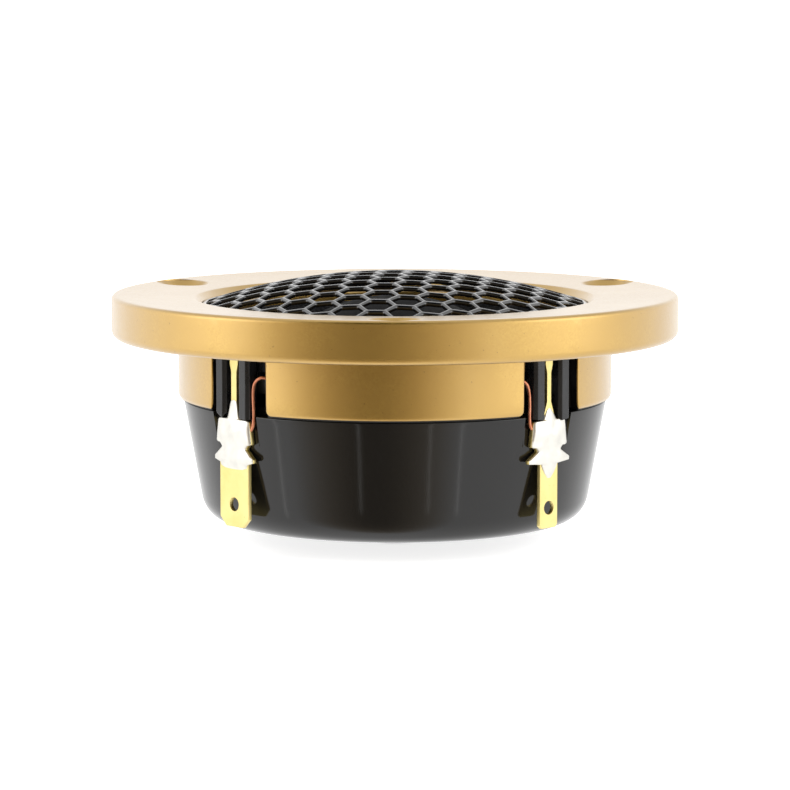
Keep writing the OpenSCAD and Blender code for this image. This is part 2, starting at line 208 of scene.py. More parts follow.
def bumped(dial, height, depth_mm, strength=1.0):
    """A normal from a height of 0 to 1 that stands for that depth."""
    sockets = {"Height": height, "Distance": depth_mm / 1000, "Strength": strength}
    return dial.node("Bump", (), sockets, "Normal")


def put_on(thing, material):
    """Gives a piece its material, in the slots that it has or in a new one."""
    if thing.material_slots:
        for held in thing.material_slots:
            held.material = material
    else:
        thing.data.materials.append(material)
    return thing


def gloss_black(dial, place):
    flow = grain(dial, place, 7, 1)
    dust = ramp(dial, grain(dial, place, 0.5, 3, 0.7), 0.62, 0.8)
    colour = mixed(dial, dust * 0.25, shade_of(17, 16, 15), shade_of(40, 39, 38))
    return {
        "Base Color": colour,
        "Roughness": 0.085 + 0.05 * flow + 0.16 * dust,
        "Specular IOR Level": 0.4,
        "Normal": bumped(dial, flow + 0.03 * grain(dial, place, 0.9, 2), 0.02, 0.5),
    }


ring_turn, terminal_angle = -1.4, 46.5
terminal_turns = {
    side: math.radians(-90 + ring_turn + side * terminal_angle) for side in (-1, 1)
}
cup_low, cup_high = (np.array(corner) * 1000 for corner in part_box("rear_cup"))
cup_top, cup_slope, cup_flat, post_flat = 23.95, 0.1817, 23.15, 22.6


def cup_side(height):
    return cup_top - (16 - height) * cup_slope


cup_corners = [
    (0, cup_low[2]), (5.9, cup_low[2]), (5.9, 2.2), (cup_side(2.2), 2.2),
    (cup_side(15.28), 15.28), (cup_side(15.36), 15.36), (cup_top, 16), (22.6, 16),
    (22.6, cup_high[2]), (21.7, cup_high[2]), (21.7, 13.7), (19.94, 4), (0, 4),
]
cup_radii = [0.35, 0.25, 3.3, 0, 0, 0.15, 0, 0.2, 0.2, 0.5, 1.5]
cup_line = filled(eased(cup_corners, cup_radii, 9), 1.5)
corner_angles = np.array([-0.154, -0.15, -0.1345, -0.1305, 0.1305, 0.1345, 0.15, 0.154])
cup_angles = np.sort(
    np.concatenate(
        [np.linspace(0, 2 * np.pi, 288, endpoint=False)]
        + [turn % (2 * np.pi) + corner_angles for turn in terminal_turns.values()]
    )
)
cup_places = ring_places(cup_line, cup_angles)
reach = np.hypot(cup_places[..., 0], cup_places[..., 1])
limit = np.full(reach.shape, 99.0)
for turn in terminal_turns.values():
    off = (cup_angles - turn + np.pi) % (2 * np.pi) - np.pi
    for half, flat, level in ((0.152, cup_flat, 0.0), (0.1325, post_flat, 15.3)):
        inside = (np.abs(off)[:, None] < half) & (cup_line[None, :, 1] > level)
        held = flat / np.cos(np.clip(off, -0.5, 0.5))[:, None]
        limit = np.where(inside & (reach > post_flat - 0.01), np.minimum(limit, held), limit)
cup_places[..., :2] *= (np.minimum(reach, limit) / np.maximum(reach, 1e-9))[..., None]
cup_faces = net_faces(len(cup_angles), len(cup_line), True, False)
cup = piece_of("cup_shell", cup_places, cup_faces)
cup_finish = finish_of("gloss_black_abs", gloss_black)
put_on(cup, cup_finish)
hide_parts("rear_cup")
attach(cup, "frame")

# ---------- Felt ----------
# Grey wool felt: a thick disc on the chamber's floor, and a small one on the pole under the dome.
# Both are die cut from sheet and held by glue, and they soak up the sound behind the diaphragm.


def wool(dial, place):
    stretched = dial.node("Mapping", (), {"Vector": place, "Scale": (1, 0.22, 1)})
    threads = grain(dial, stretched, 0.25, 4, 0.7)
    clumps = grain(dial, place, 1.6, 3)
    return {
        "Base Color": mixed(
            dial, 0.5 * threads + 0.5 * clumps, shade_of(62, 62, 64), shade_of(128, 127, 125)
        ),
        "Roughness": 0.95 - 0.1 * clumps,
        "Sheen Weight": 0.4,
        "Normal": bumped(dial, threads + clumps, 0.12),
    }


felt_finish = finish_of("wool_felt", wool)
for name in ("chamber_felt", "pole_felt"):
    put_on(cad[name], felt_finish)

# ---------- Motor ----------
# A steel pot and pole plate round a neodymium disc. The steel is turned on a lathe and zinc plated,
# and the magnet is ground, nickel plated and glued in. Three cross-head screws fix the pot's flange.


def turned_steel(dial, place):
    flat = dial.node("VectorMath", {"operation": "MULTIPLY"}, {0: place, 1: (1, 1, 0)})
    radius = dial.node("VectorMath", {"operation": "LENGTH"}, {0: flat}, "Value")
    ridges = {"W": radius, "Scale": 6000.0, "Detail": 2.0}
    cut = dial.node("TexNoise", {"noise_dimensions": "1D"}, ridges, "Fac")
    blotch = grain(dial, place, 3, 3)
    return {
        "Base Color": mixed(dial, blotch, shade_of(150, 153, 158), shade_of(196, 198, 200)),
        "Metallic": 1.0,
        "Roughness": 0.24 + 0.16 * blotch + 0.1 * cut,
        "Normal": bumped(dial, cut, 0.015, 0.6),
    }


def nickel_plate(dial, place):
    cloud = grain(dial, place, 2, 3)
    scratches = dial.node("Mapping", (), {"Vector": place, "Rotation": (0, 0, 0.6), "Scale": (1, 0.05, 1)})
    marks = ramp(dial, grain(dial, scratches, 0.12, 2), 0.6, 0.75)
    return {
        "Base Color": mixed(dial, cloud, shade_of(176, 174, 166), shade_of(212, 210, 203)),
        "Metallic": 1.0,
        "Roughness": 0.16 + 0.12 * cloud + 0.15 * marks,
        "Normal": bumped(dial, marks, 0.004, 0.5),
    }


steel_finish = finish_of("zinc_plated_steel", turned_steel)
for name in ("steel_pot", "pole_plate", "motor_screws"):
    put_on(cad[name], steel_finish)
put_on(cad["neo_magnet"], finish_of("nickel_plate", nickel_plate))

# ---------- Former and voice coil ----------
# The former is a tube of thin aluminium foil glued into the dome's foot, and it stands in the gap.
# Enamelled copper wire is wound on it in one close layer and bonded by heat.


def rolled_foil(dial, place):
    drawn = dial.node("Mapping", (), {"Vector": place, "Scale": (1, 1, 12)})
    lines = grain(dial, drawn, 1.4, 3)
    return {
        "Base Color": mixed(dial, lines, shade_of(178, 180, 184), shade_of(214, 215, 216)),
        "Metallic": 1.0,
        "Roughness": 0.22 + 0.2 * lines,
        "Normal": bumped(dial, lines, 0.01, 0.5),
    }


def wound_wire(dial, place):
    level = dial.node("SeparateXYZ", (), {0: place}, "Z")
    turns = dial.node("Math", {"operation": "SINE"}, {0: level * (2 * math.pi / 0.00017)}) * 0.5 + 0.5
    drift = grain(dial, place, 1.5)
    return {
        "Base Color": mixed(dial, turns * 0.7 + drift * 0.3, shade_of(96, 44, 22), shade_of(206, 122, 74)),
        "Metallic": 0.9,
        "Roughness": 0.3 + 0.15 * drift,
        "Coat Weight": 0.4,
        "Normal": bumped(dial, turns, 0.06),
    }


put_on(cad["coil_former"], finish_of("aluminium_foil", rolled_foil))
put_on(cad["voice_coil"], finish_of("copper_winding", wound_wire))

# ---------- Dome ----------
# The radiating dome, hot pressed from woven silk and coated black on the back. Its edge is glued to
# the foil former and to the inner land of the surround.


def coated_silk(dial, place):
    thread = 2 * math.pi / 0.00034
    flat = dial.node("SeparateXYZ", (), {0: place}, "X"), dial.node("SeparateXYZ", (), {0: place}, "Y")
    warp, weft = (dial.node("Math", {"operation": "SINE"}, {0: part * thread}) for part in flat)
    weave = warp * weft * 0.5 + 0.5
    slub = grain(dial, place, 0.9, 3)
    soak = grain(dial, place, 6, 2)
    return {
        "Base Color": mixed(dial, 0.6 * weave + 0.4 * slub, shade_of(8, 8, 8), shade_of(24, 23, 23)),
        "Roughness": 0.5 + 0.2 * soak + 0.12 * slub,
        "Specular IOR Level": 0.15,
        "Normal": bumped(dial, weave + 0.6 * slub, 0.035, 0.7),
    }


silk_finish = finish_of("coated_silk", coated_silk)
dome_ball, dome_middle, dome_edge, silk = 18.85, 8.55, 13.1, 0.1
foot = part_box("surround")[0].z * 1000


def cap_line(ball, edge, places=40):
    """From the apex out to the edge of a ball's cap: the angle from the axis grows evenly."""
    lean = np.linspace(0, math.asin(edge / ball), places)
    return np.stack([ball * np.sin(lean), dome_middle + ball * np.cos(lean)], -1)


dome_line = np.concatenate(
    [cap_line(dome_ball + silk, dome_edge), cap_line(dome_ball - silk, dome_edge - 0.06)[::-1]]
)
around = np.linspace(0, 2 * np.pi, 192, endpoint=False)
dome = piece_of("silk_dome", ring_places(dome_line, around), net_faces(192, len(dome_line), True, False))
put_on(dome, silk_finish)
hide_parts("dome")
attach(dome, "diaphragm")

# ---------- Surround ----------
# The half roll round the dome, pressed from the same silk. In the tweeter its inner land moves with the dome
# and its outer land is glued to the terminal ring; here it is built as sixteen sectors that stay in place.

roll_in, roll_out, land_out = 13.2, 16.95, 18.3
roll_middle, roll_radius = (roll_in + roll_out) / 2, (roll_out - roll_in) / 2
lift = np.linspace(math.pi, 0, 23)[:, None]


def roll_line(radius):
    return np.concatenate(
        [roll_middle + radius * np.cos(lift), foot + radius * np.sin(lift)], -1
    )


over = np.concatenate(
    [
        [[roll_in - 0.1, foot + 0.2]],
        roll_line(roll_radius)[2:-1],
        [[roll_out + 0.15, foot + 0.2], [land_out, foot + 0.2]],
    ]
)
under = np.concatenate(
    [
        [[roll_in - 0.1, foot]],
        [[roll_in + 0.1, foot]],
        roll_line(roll_radius - 0.2)[1:-1],
        [[roll_out - 0.05, foot], [land_out, foot]],
    ]
)
surround_line = np.concatenate([over, under[::-1]])
slopes = np.roll(surround_line, -1, 0) - np.roll(surround_line, 1, 0)
leans = np.stack([-slopes[:, 1], slopes[:, 0]], -1) / np.hypot(*slopes.T)[:, None]
sectors, spread = 16, 2 * np.pi / 16
for sector in range(sectors):
    angles = (sector + np.linspace(0, 1, 13)) * spread
    rows = len(surround_line)
    strip = piece_of(
        f"surround_{sector + 1:02d}",
        ring_places(surround_line, angles),
        net_faces(len(angles), rows, False, True, caps=True),
    )
    mesh = strip.data
    at = np.empty(len(mesh.vertices) * 3)
    mesh.vertices.foreach_get("co", at)
    at = at.reshape(-1, 3) * 1000
    turn, radius = np.arctan2(at[:, 1], at[:, 0]), np.hypot(at[:, 0], at[:, 1])
    apart = np.hypot(radius[:, None] - surround_line[:, 0], at[:, 2:] - surround_line[:, 1])
    lean = leans[np.argmin(apart, 1)]
    sense = 1.0 if lean[np.argmax(at[:, 2]), 1] > 0 else -1.0
    normals = sense * np.stack([lean[:, 0] * np.cos(turn), lean[:, 0] * np.sin(turn), lean[:, 1]], -1)
    corners = np.empty(len(mesh.loops), np.int32)
    mesh.loops.foreach_get("vertex_index", corners)
    sides = np.empty(len(mesh.polygons), np.int32)
    mesh.polygons.foreach_get("loop_total", sides)
    facing = np.empty(len(mesh.polygons) * 3)
    mesh.polygons.foreach_get("normal", facing)
    owner = np.repeat(np.arange(len(sides)), sides)
    on_cap = (sides > 4)[owner][:, None]
    mesh.normals_split_custom_set(np.where(on_cap, facing.reshape(-1, 3)[owner], normals[corners]).tolist())
    put_on(strip, silk_finish)
    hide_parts("surround")
    middle = (sector + 0.5) * spread
    ends = [(r * math.cos(middle) / 1000, r * math.sin(middle) / 1000, foot / 1000) for r in (13.3, 16.2)]
    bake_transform(strip)

# ---------- Terminal ring ----------
# A ring of black glass-filled nylon that carries the diaphragm. Four posts hang from it through the
# collar's slots and grip the two terminals, and a groove under it leads each wire to its slot.

ring_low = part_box("terminal_ring")[0] * 1000
ring_out, ring_in, ring_base = 22.5, 16.6, 19.9
landing, post_end, post_face = 18.4, ring_low.z, 24.2


def beside(side, out, across, up):
    """Row-frame places from a terminal's own: out from the axis, across and away from the front, up."""
    turn, across = terminal_turns[side], side * np.asarray(across, float)
    out, up = np.asarray(out, float), np.asarray(up, float)
    flat = out * math.cos(turn) - across * math.sin(turn), out * math.sin(turn) + across * math.cos(turn)
    return np.stack(np.broadcast_arrays(*flat, up), -1)


def block_faces():
    return [[0, 1, 2, 3], [4, 7, 6, 5], [0, 4, 5, 1], [1, 5, 6, 2], [2, 6, 7, 3], [3, 7, 4, 0]]


def block_corners(side, out, across, up):
    """The eight corners of a block beside a terminal, from its lowest and highest in each direction."""
    places = [
        (o, a, u)
        for u in up
        for o, a in ((out[0], across[0]), (out[1], across[0]), (out[1], across[1]), (out[0], across[1]))
    ]
    return beside(side, *np.array(places, float).T)


def cut(thing, tool, operation="DIFFERENCE", crease=35):
    """Applies a Boolean of the thing with the tool at once, and takes the tool away."""
    change = thing.modifiers.new("cut", "BOOLEAN")
    change.operation, change.object, change.solver = operation, tool, "EXACT"
    seen = thing.evaluated_get(bpy.context.evaluated_depsgraph_get())
    mesh = bpy.data.meshes.new_from_object(seen)
    thing.modifiers.clear()
    thing.data = mesh
    mesh.name = thing.name
    mesh.set_sharp_from_angle(angle=math.radians(crease))
    bpy.data.objects.remove(tool)
    return thing


def even_shading(thing):
    """Normals that lean to the larger faces, so that flats stay flat beside their rounded edges."""
    thing.modifiers.new("even shading", "WEIGHTED_NORMAL").keep_sharp = True
    return thing


def tools_of(name, shapes):
    """Several closed shapes, each as (places, faces), as one object to cut with."""
    places, faces, count = [], [], 0
    for some, net in shapes:
        some = np.asarray(some, float).reshape(-1, 3)
        places.append(some)
        faces += [[count + i for i in face] for face in net]
        count += len(some)
    return piece_of(name, np.concatenate(places), faces)


def filled_nylon(dial, place):
    mat = grain(dial, place, 0.35, 3, 0.6)
    flow = grain(dial, place, 2.5, 2)
    scuffs = dial.node("Mapping", (), {"Vector": place, "Rotation": (0.2, 0.1, 0.7), "Scale": (1, 1, 0.15)})
    rubbed = ramp(dial, grain(dial, scuffs, 0.3, 3, 0.7), 0.6, 0.78)
    return {
        "Base Color": mixed(dial, 0.6 * rubbed + 0.3 * flow, shade_of(11, 11, 12), shade_of(50, 51, 55)),
        "Roughness": 0.2 + 0.14 * flow + 0.2 * rubbed,
        "Specular IOR Level": 0.5,
        "Normal": bumped(dial, mat + 0.5 * rubbed, 0.012, 0.7),
    }


nylon_finish = finish_of("filled_nylon", filled_nylon)
ring_line = eased(
    [
        (ring_in, 21), (ring_in, ring_base), (ring_out, ring_base), (ring_out, 22.7),
        (landing, 22.7), (landing, 22.2), (ring_in, 22.2), (ring_in, 21),
    ],
    [0.2, 0.25, 0.15, 0.15, 0.1, 0.15], 4,
)[:-1]
ring = piece_of("terminal_ring_body", ring_places(ring_line, around), net_faces(192, len(ring_line)))
notches = (
    ((20.6, 24), (-0.85, 0.85), (21.85, 24)),
    ((15.6, 21.5), (-3.5, -2.7), (18, 20.6)),
    ((21.2, 23.5), (-5.2, -2.65), (17.8, 20.75)),
)
for side in (-1, 1):
    for notch in notches:
        cut(ring, tools_of("ring_notch", [(block_corners(side, *notch), block_faces())]))
even_shading(ring)
put_on(ring, nylon_finish)
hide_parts("terminal_ring")
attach(ring, "frame")


def post_places(side, sign, tips):
    """A bevelled bar that hangs from the ring: its section is carried down and drawn in at both ends,
    and tips lowers its lower end by an amount for each place across the bar and out of it."""
    section = eased(
        [
            (22.85, 0.85), (22.85, 0), (23.85, 0), (post_face, 0.35),
            (post_face, 1.35), (23.85, 1.7), (22.85, 1.7), (22.85, 0.85),
        ],
        [0.12, 0.15, 0.2, 0.2, 0.15, 0.12], 4,
    )[:-1]
    middle = np.array([23.5, 0.85])
    levels = [
        (0, 0.0), (0.85, 0.0), (0.96, 0.04), (1, 0.16),
        (1, 2.4), (1, 4.6), (1, 6.6), (1, 7.1), (0, 7.1),
    ]
    scale = np.array([s for s, _ in levels])[:, None, None]
    plan = middle + (section[None] - middle) * scale
    height = np.array([h for _, h in levels])[:, None] + post_end * np.ones(len(section))[None]
    low = np.clip(1 - (height - post_end) / 2.4, 0, 1)
    height = height + low * tips(plan[..., 0] - 23.5, plan[..., 1] - 0.85)
    across = sign * (1.1 + plan[..., 1]) + (0.2 if side > 0 else 0)
    return beside(side, plan[..., 0], across, height), len(levels), len(section)


post_tips = {
    (-1, 1): lambda out, over: -0.35 + 1.25 * np.abs(over + 0.15),
    (-1, -1): lambda out, over: 0.02 + 0 * over,
    (1, 1): lambda out, over: 0.1 - 0.5 * out + 0.15 * over,
    (1, -1): lambda out, over: 0.05 + 0.08 * over,
}
for (side, sign), tips in post_tips.items():
    places, levels, round_count = post_places(side, sign, tips)
    post = piece_of(
        f"post_{'wide' if side < 0 else 'narrow'}_{'outer' if sign > 0 else 'inner'}",
        places, net_faces(levels, round_count, False, True), 40,
    )
    put_on(even_shading(post), nylon_finish)
    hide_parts("terminal_ring")
    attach(post, "frame")

# ---------- Terminals ----------
# Two strips stamped from brass sheet: a foot in the ring, a neck between the posts, a barbed lug for
# the solder, and a push-on tab with a hole. The positive tab is the wide one.

tab_back, tab_face = 23.25, 23.75
shoulder, tab_end = 15.4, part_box("terminal_wide")[0].z * 1000


def lug_half(tab, neck, bell, notch, bell_low, chamfer):
    """Half the outline of a terminal, across and up, from its top to the middle of its end."""
    return [
        (0, 22.35), (neck / 2 + 0.25, 22.35), (neck / 2 + 0.24, 21.5), (neck / 2, 20.6), (neck / 2, 17.45),
        (1.0, shoulder + 0.1), (bell - 0.4, shoulder), (bell, bell_low), (notch + 0.5, bell_low + 0.25),
        (notch, bell_low - 0.3), (3.25, 11.2), (3.25, 10.8), (tab / 2, 10.7), (tab / 2, tab_end + chamfer),
        (tab / 2 - chamfer, tab_end), (0, tab_end),
    ]


lug_radii = [0.1, 0.6, 0.9, 0.5, 0.35, 0.3, 0.25, 0.12, 0.15, 0.12, 0.06, 0.12, 0.12, 0.12]


def both_halves(half_line):
    """A closed outline from one half of it: the half, then its mirror image on the way back."""
    other = half_line[::-1] * [-1, 1]
    return np.concatenate([half_line[1:-1], other[1:-1]])


def drawn_in(outline, amount):
    """The outline moved inwards: each place goes along the mean of its two sides' normals."""
    along = np.roll(outline, -1, 0) - outline
    along = along / np.maximum(np.hypot(*along.T)[:, None], 1e-9)
    normal = np.stack([-along[:, 1], along[:, 0]], -1)
    mean = normal + np.roll(normal, 1, 0)
    mean = mean / np.maximum((mean * normal).sum(1), 0.5)[:, None]
    twice_area = (
        outline[:, 0] * np.roll(outline[:, 1], -1) - outline[:, 1] * np.roll(outline[:, 0], -1)
    ).sum()
    return outline + mean * amount * (1 if twice_area > 0 else -1)


def strip_places(side, outline, back, face, edge):
    """A flat strip with its edges taken off: the outline drawn in at both faces and full between."""
    levels = (
        (back, edge), (back + 0.3 * edge, 0.3 * edge), (back + edge, 0),
        (face - edge, 0), (face - 0.3 * edge, 0.3 * edge), (face, edge),
    )
    rims = [(drawn_in(outline, inset), out) for out, inset in levels]
    return np.stack([beside(side, out, rim[:, 0], rim[:, 1]) for rim, out in rims])


def stamped_brass(dial, place):
    drawn = dial.node("Mapping", (), {"Vector": place, "Scale": (1, 1, 0.06)})
    lines = grain(dial, drawn, 0.11, 3, 0.6)
    cloud = grain(dial, place, 2.2, 3)
    spots = ramp(dial, grain(dial, place, 0.45, 4, 0.7), 0.62, 0.75)
    tint = mixed(dial, cloud, shade_of(232, 216, 152), shade_of(214, 194, 120))
    return {
        "Base Color": mixed(dial, 0.5 * spots, tint, shade_of(176, 150, 66)),
        "Metallic": 0.92,
        "Roughness": 0.26 + 0.14 * cloud + 0.12 * lines,
        "Normal": bumped(dial, lines + 0.4 * spots, 0.006, 0.6),
    }


brass_finish = finish_of("stamped_brass", stamped_brass)
terminal_sizes = {
    -1: ("wide", dict(tab=4.8, neck=0.92, bell=3.0, notch=2.0, bell_low=12.55, chamfer=1.0)),
    1: ("narrow", dict(tab=2.8, neck=0.66, bell=2.9, notch=1.8, bell_low=12.4, chamfer=0.33)),
}
for side, (word, sizes) in terminal_sizes.items():
    outline = both_halves(eased(lug_half(**sizes), lug_radii, 5))
    places = strip_places(side, outline, tab_back, tab_face, 0.07)
    strip = piece_of(
        f"terminal_{word}_strip", places,
        net_faces(len(places), len(outline), False, True, caps=True),
    )
    hole = [(0, 22.6), (0.95, 22.6), (0.75, 23.33), (0.75, 23.67), (0.95, 24.4), (0, 24.4)]
    turn = np.linspace(0, 2 * np.pi, 40, endpoint=False)[:, None]
    radius, out = np.array(hole).T
    punch = beside(side, out[None], np.cos(turn) * radius, {-1: 6.0, 1: 5.75}[side] + np.sin(turn) * radius)
    cut(strip, tools_of("punch", [(punch, net_faces(40, len(hole), True, False))]))
    foot_piece = tools_of(
        "terminal_foot",
        [
            (
                block_corners(side, (20.85, 23.4), (-sizes["neck"] / 2, sizes["neck"] / 2), (21.85, 22.35)),
                block_faces(),
            )
        ],
    )
    even_shading(cut(strip, foot_piece, "UNION"))
    put_on(strip, brass_finish)
    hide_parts(f"terminal_{word}")
    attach(strip, "frame")

# ---------- Solder ----------
# Bright tin solder that has wetted the whole lug, up the neck and a little way down the tab. It is
# fullest in the middle, thins towards the lug's edges, and stays lumpy where it set.


def ripple(*parts):
    """A gentle uneven height: a few crossed sine waves of places across and up."""
    across, up = parts
    waves = ((2.3, 1.1, 0.4), (-1.7, 2.9, 1.3), (4.1, -2.2, 2.6), (0.9, 5.3, 0.2))
    return sum(np.sin(a * across + b * up + c) for a, b, c in waves) / 4


def tin_solder(dial, place):
    lumps = grain(dial, place, 1.1, 2)
    frost = grain(dial, place, 0.22, 3, 0.6)
    return {
        "Base Color": mixed(dial, lumps, shade_of(226, 224, 216), shade_of(196, 194, 188)),
        "Metallic": 0.8,
        "Roughness": 0.24 + 0.2 * frost,
        "Normal": bumped(dial, lumps + 0.3 * frost, 0.035, 0.5),
    }


solder_finish = finish_of("tin_solder", tin_solder)
for side, (word, sizes) in terminal_sizes.items():
    half = eased(lug_half(**sizes), lug_radii, 5)
    peak = {-1: 17.55, 1: 16.75}[side]
    half = half[half[:, 1] < peak - 0.15]
    keep = half[:, 1] > 10.72
    tail = {
        -1: [(2.3, 10.5), (2.2, 10.15), (1.5, 9.95), (0.6, 9.9)],
        1: [(1.3, 10.6), (1.2, 10.3), (0.75, 9.6), (0.25, 9.05)],
    }[side]
    edge = np.concatenate([[(0.05, peak), (0.3, peak - 0.1)], half[keep], tail])
    edge = filled(edge, 0.22)
    shares = np.linspace(-1, 1, 25)
    across = edge[:, :1] * shares[None] * np.where(np.abs(shares) > 0.99, 0.985, 1.0)[None]
    up = np.broadcast_to(edge[:, 1:], across.shape)
    swell = np.sqrt(np.clip(1 - shares**2, 0, 1))[None] ** 0.8
    ends = (
        np.clip((peak + 0.05 - up) / 0.9, 0, 1) ** 0.5
        * np.clip((up - tail[-1][1] + 0.05) / 0.9, 0, 1) ** 0.5
    )
    full = 0.09 + 0.3 * np.exp(-(((up - 14.2) / 1.6) ** 2)) + 0.12 * np.exp(-(((up - 11.4) / 1.1) ** 2))
    front = (
        tab_face
        - 0.02
        + (0.05 + full * (1 + 0.25 * ripple(across * 0.8 + side, up * 0.7)) * swell) * ends
    )
    back = np.full(front.shape, tab_face - 0.06)
    loop = [np.concatenate([a, b[:, ::-1]], 1) for a, b in ((front, back), (across, across), (up, up))]
    blob = piece_of(
        f"solder_{word}_joint", beside(side, *loop),
        net_faces(len(edge), loop[0].shape[1], False, True, caps=True), 50,
    )
    put_on(blob, solder_finish)
    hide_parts(f"solder_{word}")
    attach(blob, "frame")

# ---------- Lead-outs ----------
# The voice coil's own wire ends: bare copper, led under the ring, up over the slot's edge and down to
# the lug. In the tweeter the inner end moves with the diaphragm; here each wire is one piece that stays in
# place.


def tube_places(path, radius, sides=10):
    """A wire along a path: a circle of places at each station, square to the path there."""
    along = np.gradient(path, axis=0)
    along = along / np.linalg.norm(along, axis=1)[:, None]
    across = np.cross(along, [0.31, 0.93, 0.2])
    across = across / np.linalg.norm(across, axis=1)[:, None]
    up = np.cross(along, across)
    turn = np.linspace(0, 2 * np.pi, sides, endpoint=False)[None, :, None]
    return path[:, None] + radius * (np.cos(turn) * across[:, None] + np.sin(turn) * up[:, None])


def softened(path, passes=3):
    """Corner cutting: each pass swaps a corner for places a quarter and three quarters along."""
    for _ in range(passes):
        quarter, rest = path[:-1] * 0.75 + path[1:] * 0.25, path[:-1] * 0.25 + path[1:] * 0.75
        between = np.stack([quarter, rest], 1).reshape(-1, 3)[1:-1]
        path = np.concatenate([path[:1], between, path[-1:]])
    return path


def bare_copper(dial, place):
    tone = grain(dial, place, 0.6, 3)
    return {
        "Base Color": mixed(dial, tone, shade_of(176, 96, 66), shade_of(234, 164, 128)),
        "Metallic": 0.85,
        "Roughness": 0.3 + 0.2 * tone,
        "Coat Weight": 0.3,
        "Normal": bumped(dial, tone, 0.02, 0.6),
    }


copper_finish = finish_of("bare_copper", bare_copper)
lead_routes = {
    -1: [
        (13.1, -0.6, 21.1), (14.2, -1.1, 20.9), (15.4, -2.4, 19.7), (17, -3.1, 19.35),
        (19.5, -3.2, 19.4), (21.4, -4.3, 19.6),
        (22.2, -4.9, 19.95), (22.9, -4.5, 20.25), (23.3, -3.9, 20.3), (23.5, -3.15, 19.6), (23.5, -2.98, 18.4),
        (23.5, -3.1, 16.9), (23.5, -3.12, 15.5), (23.52, -2.95, 14.7), (23.55, -2.6, 14.3),
    ],
    1: [
        (13.1, -0.6, 21.1), (14.2, -1.1, 20.9), (15.4, -2.4, 19.7), (17, -3.1, 19.35),
        (19.5, -3.2, 19.4), (21.4, -4.2, 19.6),
        (22.3, -4.5, 19.9), (23.1, -4.05, 20.1), (23.45, -3.4, 19.8), (23.5, -2.95, 18.9), (23.5, -2.85, 17.4),
        (23.5, -2.9, 16.0), (23.5, -2.85, 15.2), (23.52, -2.7, 14.8), (23.55, -2.5, 14.6),
    ],
}
for side, (word, _) in terminal_sizes.items():
    path = softened(beside(side, *np.array(lead_routes[side]).T))
    lead = piece_of(
        f"lead_out_{word}_wire", tube_places(path, 0.18),
        net_faces(len(path), 10, False, True, caps=True), 60,
    )
    put_on(lead, copper_finish)
    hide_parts(f"lead_out_{word}")
    start, end = (beside(side, out, 0, 20.5).tolist() for out in (13.6, 17.5))
    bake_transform(lead)

# ---------- Seal ----------
# A ring of soft black foam between the terminal ring and the back of the flange, with a lip that
# lines the opening. The three motor screws squeeze it.


def soft_foam(dial, place):
    cells = dial.node("TexVoronoi", (), {"Vector": place, "Scale": 1000 / 0.3}, "Distance")
    cloud = grain(dial, place, 1.5, 2)
    return {
        "Base Color": mixed(dial, cells, shade_of(26, 26, 28), shade_of(64, 64, 66)),
        "Roughness": 0.85 + 0.1 * cloud,
        "Normal": bumped(dial, cells, 0.08),
    }


put_on(cad["ring_gasket"], finish_of("soft_foam", soft_foam))

# ---------- Faceplate ----------
# The flange and collar, die cast in one piece and sprayed with matt champagne gold paint whose fine
# flake shows as a grain. Inside the collar and on the slot walls the colour is near black: painted shade.
# Two slots let the terminals out.

rim, flange_base, collar_base = 27.8, 23.0, 16.0
flange_out, collar_out, collar_in = 32.0, 24.5, 22.7
slot_turns = np.radians([-135.0, -45.0])
slot_half, slot_flare, edge_soft = 4.25, 1.0, 0.22
plate_corners = [
    (19.3, 24.5), (19.3, 26.14), (21.9, 26.14), (21.9, 26.68), (22.6, 27.37),
    (28.5, 27.64), (31.0, rim), (flange_out, rim),
    (flange_out, flange_base), (collar_out, flange_base), (collar_out, collar_base), (collar_in, collar_base),
    (collar_in, flange_base), (19.3, flange_base), (19.3, 24.5),
]
plate_radii = [0.18, 0.1, 0.3, 0.35, 8.0, 6.0, 0.5, 0.85, 0.18, 0.7, 0.25, 0.1, 0.2]
plate_line = filled(eased(plate_corners, plate_radii, 8), 0.9)[:-1]
soft = np.linspace(0, math.pi / 2, 5)
edge_steps = np.stack([edge_soft * (1 - np.sin(soft)), edge_soft * (1 - np.cos(soft))], -1)
columns = []
for slot in (0, 1):
    side_steps = [(slot, slot, 0.0, 1.0, shift, inset) for shift, inset in edge_steps]
    columns += [(-1,) + step for step in side_steps]
    columns += [(0,) + (slot, slot, share, 0.0, 0.0, 0.0) for share in np.linspace(-1, 1, 13)]
    columns += [(1,) + step for step in side_steps[::-1]]
    count = (70, 190)[slot]
    columns += [
        (2, slot, 1 - slot, share, 1.0, edge_soft, 0.0) for share in np.linspace(0, 1, count + 1)[1:-1]
    ]
kind, first, second, share, full, shift, inset = np.array(columns, float).T
first, second = first.astype(int), second.astype(int)
radius, height = plate_line.T
hollow = np.clip(collar_base + slot_flare * 0.95 - height, 0, slot_flare)
flare = slot_flare - np.sqrt(slot_flare**2 - hollow**2)
lip = slot_half + flare[None] + shift[:, None]
wall = (radius > collar_in - 0.3) & (radius < collar_out + 0.3) & (height < flange_base)
middle_r, half_r = (collar_out + collar_in) / 2, (collar_out - collar_in) / 2
drop = flange_base - height
new_height = np.where(wall, flange_base - drop * full[:, None] * (1 - inset / 7)[:, None], height)
narrowed = middle_r + (radius - middle_r) * (1 - inset / half_r)[:, None]
new_radius = np.where(wall, narrowed, radius)
lean = {sign: np.arcsin(np.clip(sign * lip / new_radius, -1, 1)) for sign in (-1, 1)}
inside = np.arcsin(share[:, None] * slot_half / new_radius)
gap = (slot_turns[second] - slot_turns[first]) % (2 * np.pi)
spread_out = lean[1] + share[:, None] * (gap[:, None] - lean[1] + lean[-1])
